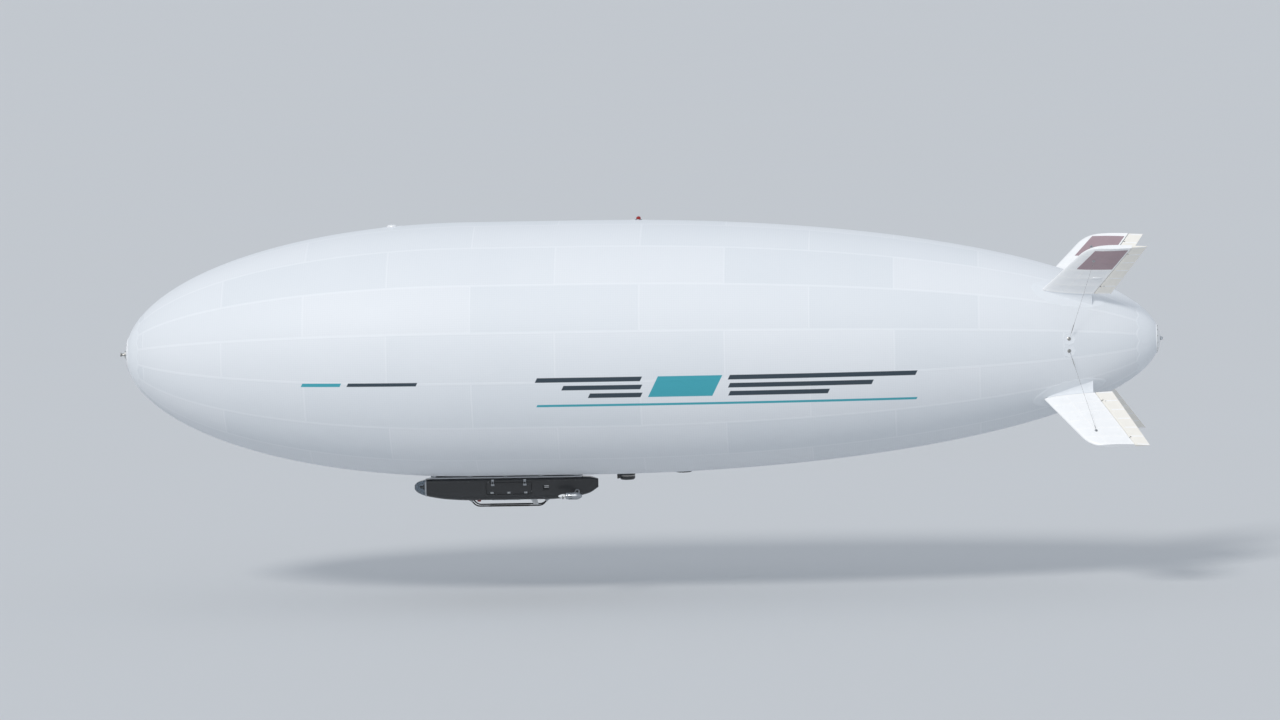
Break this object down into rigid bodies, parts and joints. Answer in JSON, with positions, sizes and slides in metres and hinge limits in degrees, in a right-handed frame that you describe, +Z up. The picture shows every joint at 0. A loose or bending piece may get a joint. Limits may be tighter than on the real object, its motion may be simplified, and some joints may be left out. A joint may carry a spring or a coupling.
{
  "type": "small unmanned helium airship",
  "caption": "Streamlined helium airship with an X tail, hinged fin surfaces and a slim belly gondola that carries tilting side propellers.",
  "frame": {"origin": "centre of buoyancy, on the hull's axis, 8.5 m aft of the nose tip", "axes": "+X to the nose, +Y to port, +Z up"},
  "size_m": [18.162, 4.416, 5.0171],
  "materials": {
    "envelope_fabric": "satin",
    "fin_skin": "satin",
    "white_laminate": "satin",
    "carbon_laminate": "satin",
    "alloy": "satin",
    "steel": "satin",
    "smoked_acrylic": "gloss",
    "black_plastic": "satin",
    "battery_case": "satin",
    "red_lens": "gloss",
    "clear_lens": "gloss"
  },
  "bodies": {
    "airframe": {"envelope": "envelope_fabric", "nose_dish": "white_laminate", "mooring_spindle": "steel", "tail_dish": "white_laminate", "tail_light": "clear_lens", "top_beacon": "red_lens", "gnss_antenna": "white_laminate", "gas_valve": "white_laminate", "air_valve": "black_plastic", "air_blower": "carbon_laminate", "keel_frame": "alloy", "gondola_shell": "carbon_laminate", "nose_window": "smoked_acrylic", "forward_camera": "black_plastic", "battery_pack": "battery_case", "payload_plate": "alloy", "blade_antenna": "white_laminate", "belly_beacon": "red_lens", "skid_port": "carbon_laminate", "skid_starboard": "carbon_laminate", "fin_port_upper": "fin_skin", "fin_fillet_port_upper": "envelope_fabric", "fin_stays_port_upper": "steel", "fin_port_lower": "fin_skin", "fin_fillet_port_lower": "envelope_fabric", "fin_stays_port_lower": "steel", "fin_starboard_lower": "fin_skin", "fin_fillet_starboard_lower": "envelope_fabric", "fin_stays_starboard_lower": "steel", "fin_starboard_upper": "fin_skin", "fin_fillet_starboard_upper": "envelope_fabric", "fin_stays_starboard_upper": "steel"},
    "ruddervator_port_upper": {"ruddervator_port_upper": "fin_skin"},
    "ruddervator_port_lower": {"ruddervator_port_lower": "fin_skin"},
    "ruddervator_starboard_lower": {"ruddervator_starboard_lower": "fin_skin"},
    "ruddervator_starboard_upper": {"ruddervator_starboard_upper": "fin_skin"},
    "tilt_shaft": {"cross_tube": "carbon_laminate", "motor_pod_port": "alloy", "motor_pod_starboard": "alloy"},
    "propeller_port": {"propeller_port": "carbon_laminate"},
    "hatch_port": {"hatch_port": "carbon_laminate"},
    "propeller_starboard": {"propeller_starboard": "carbon_laminate"},
    "hatch_starboard": {"hatch_starboard": "carbon_laminate"}
  },
  "joints": [
    {"name": "ruddervator_port_upper", "type": "hinge", "parent": "airframe", "child": "ruddervator_port_upper", "pos_m": [-8.7093, 1.28548, 1.28548], "axis": [-0.4851, 0.6184, 0.6184], "range_deg": [-25, 25]},
    {"name": "ruddervator_port_lower", "type": "hinge", "parent": "airframe", "child": "ruddervator_port_lower", "pos_m": [-8.7093, 1.28548, -1.28548], "axis": [-0.4851, 0.6184, -0.6184], "range_deg": [-25, 25]},
    {"name": "ruddervator_starboard_lower", "type": "hinge", "parent": "airframe", "child": "ruddervator_starboard_lower", "pos_m": [-8.7093, -1.28548, -1.28548], "axis": [-0.4851, -0.6184, -0.6184], "range_deg": [-25, 25]},
    {"name": "ruddervator_starboard_upper", "type": "hinge", "parent": "airframe", "child": "ruddervator_starboard_upper", "pos_m": [-8.7093, -1.28548, 1.28548], "axis": [-0.4851, -0.6184, 0.6184], "range_deg": [-25, 25]},
    {"name": "thrust_tilt", "type": "hinge", "parent": "airframe", "child": "tilt_shaft", "pos_m": [0.65, 0, -2.498], "axis": [0, -1, 0], "range_deg": [-90, 90]},
    {"name": "propeller_port_spin", "type": "hinge", "parent": "tilt_shaft", "child": "propeller_port", "pos_m": [0.846, 1, -2.498], "axis": [1, 0, 0], "continuous": true},
    {"name": "hatch_port_hinge", "type": "hinge", "parent": "airframe", "child": "hatch_port", "pos_m": [1.84, 0.261, -2.298], "axis": [1, 0, 0], "range_deg": [0, 95]},
    {"name": "propeller_starboard_spin", "type": "hinge", "parent": "tilt_shaft", "child": "propeller_starboard", "pos_m": [0.846, -1, -2.498], "axis": [-1, 0, 0], "continuous": true},
    {"name": "hatch_starboard_hinge", "type": "hinge", "parent": "airframe", "child": "hatch_starboard", "pos_m": [1.84, -0.261, -2.298], "axis": [-1, 0, 0], "range_deg": [0, 95]}
  ]
}
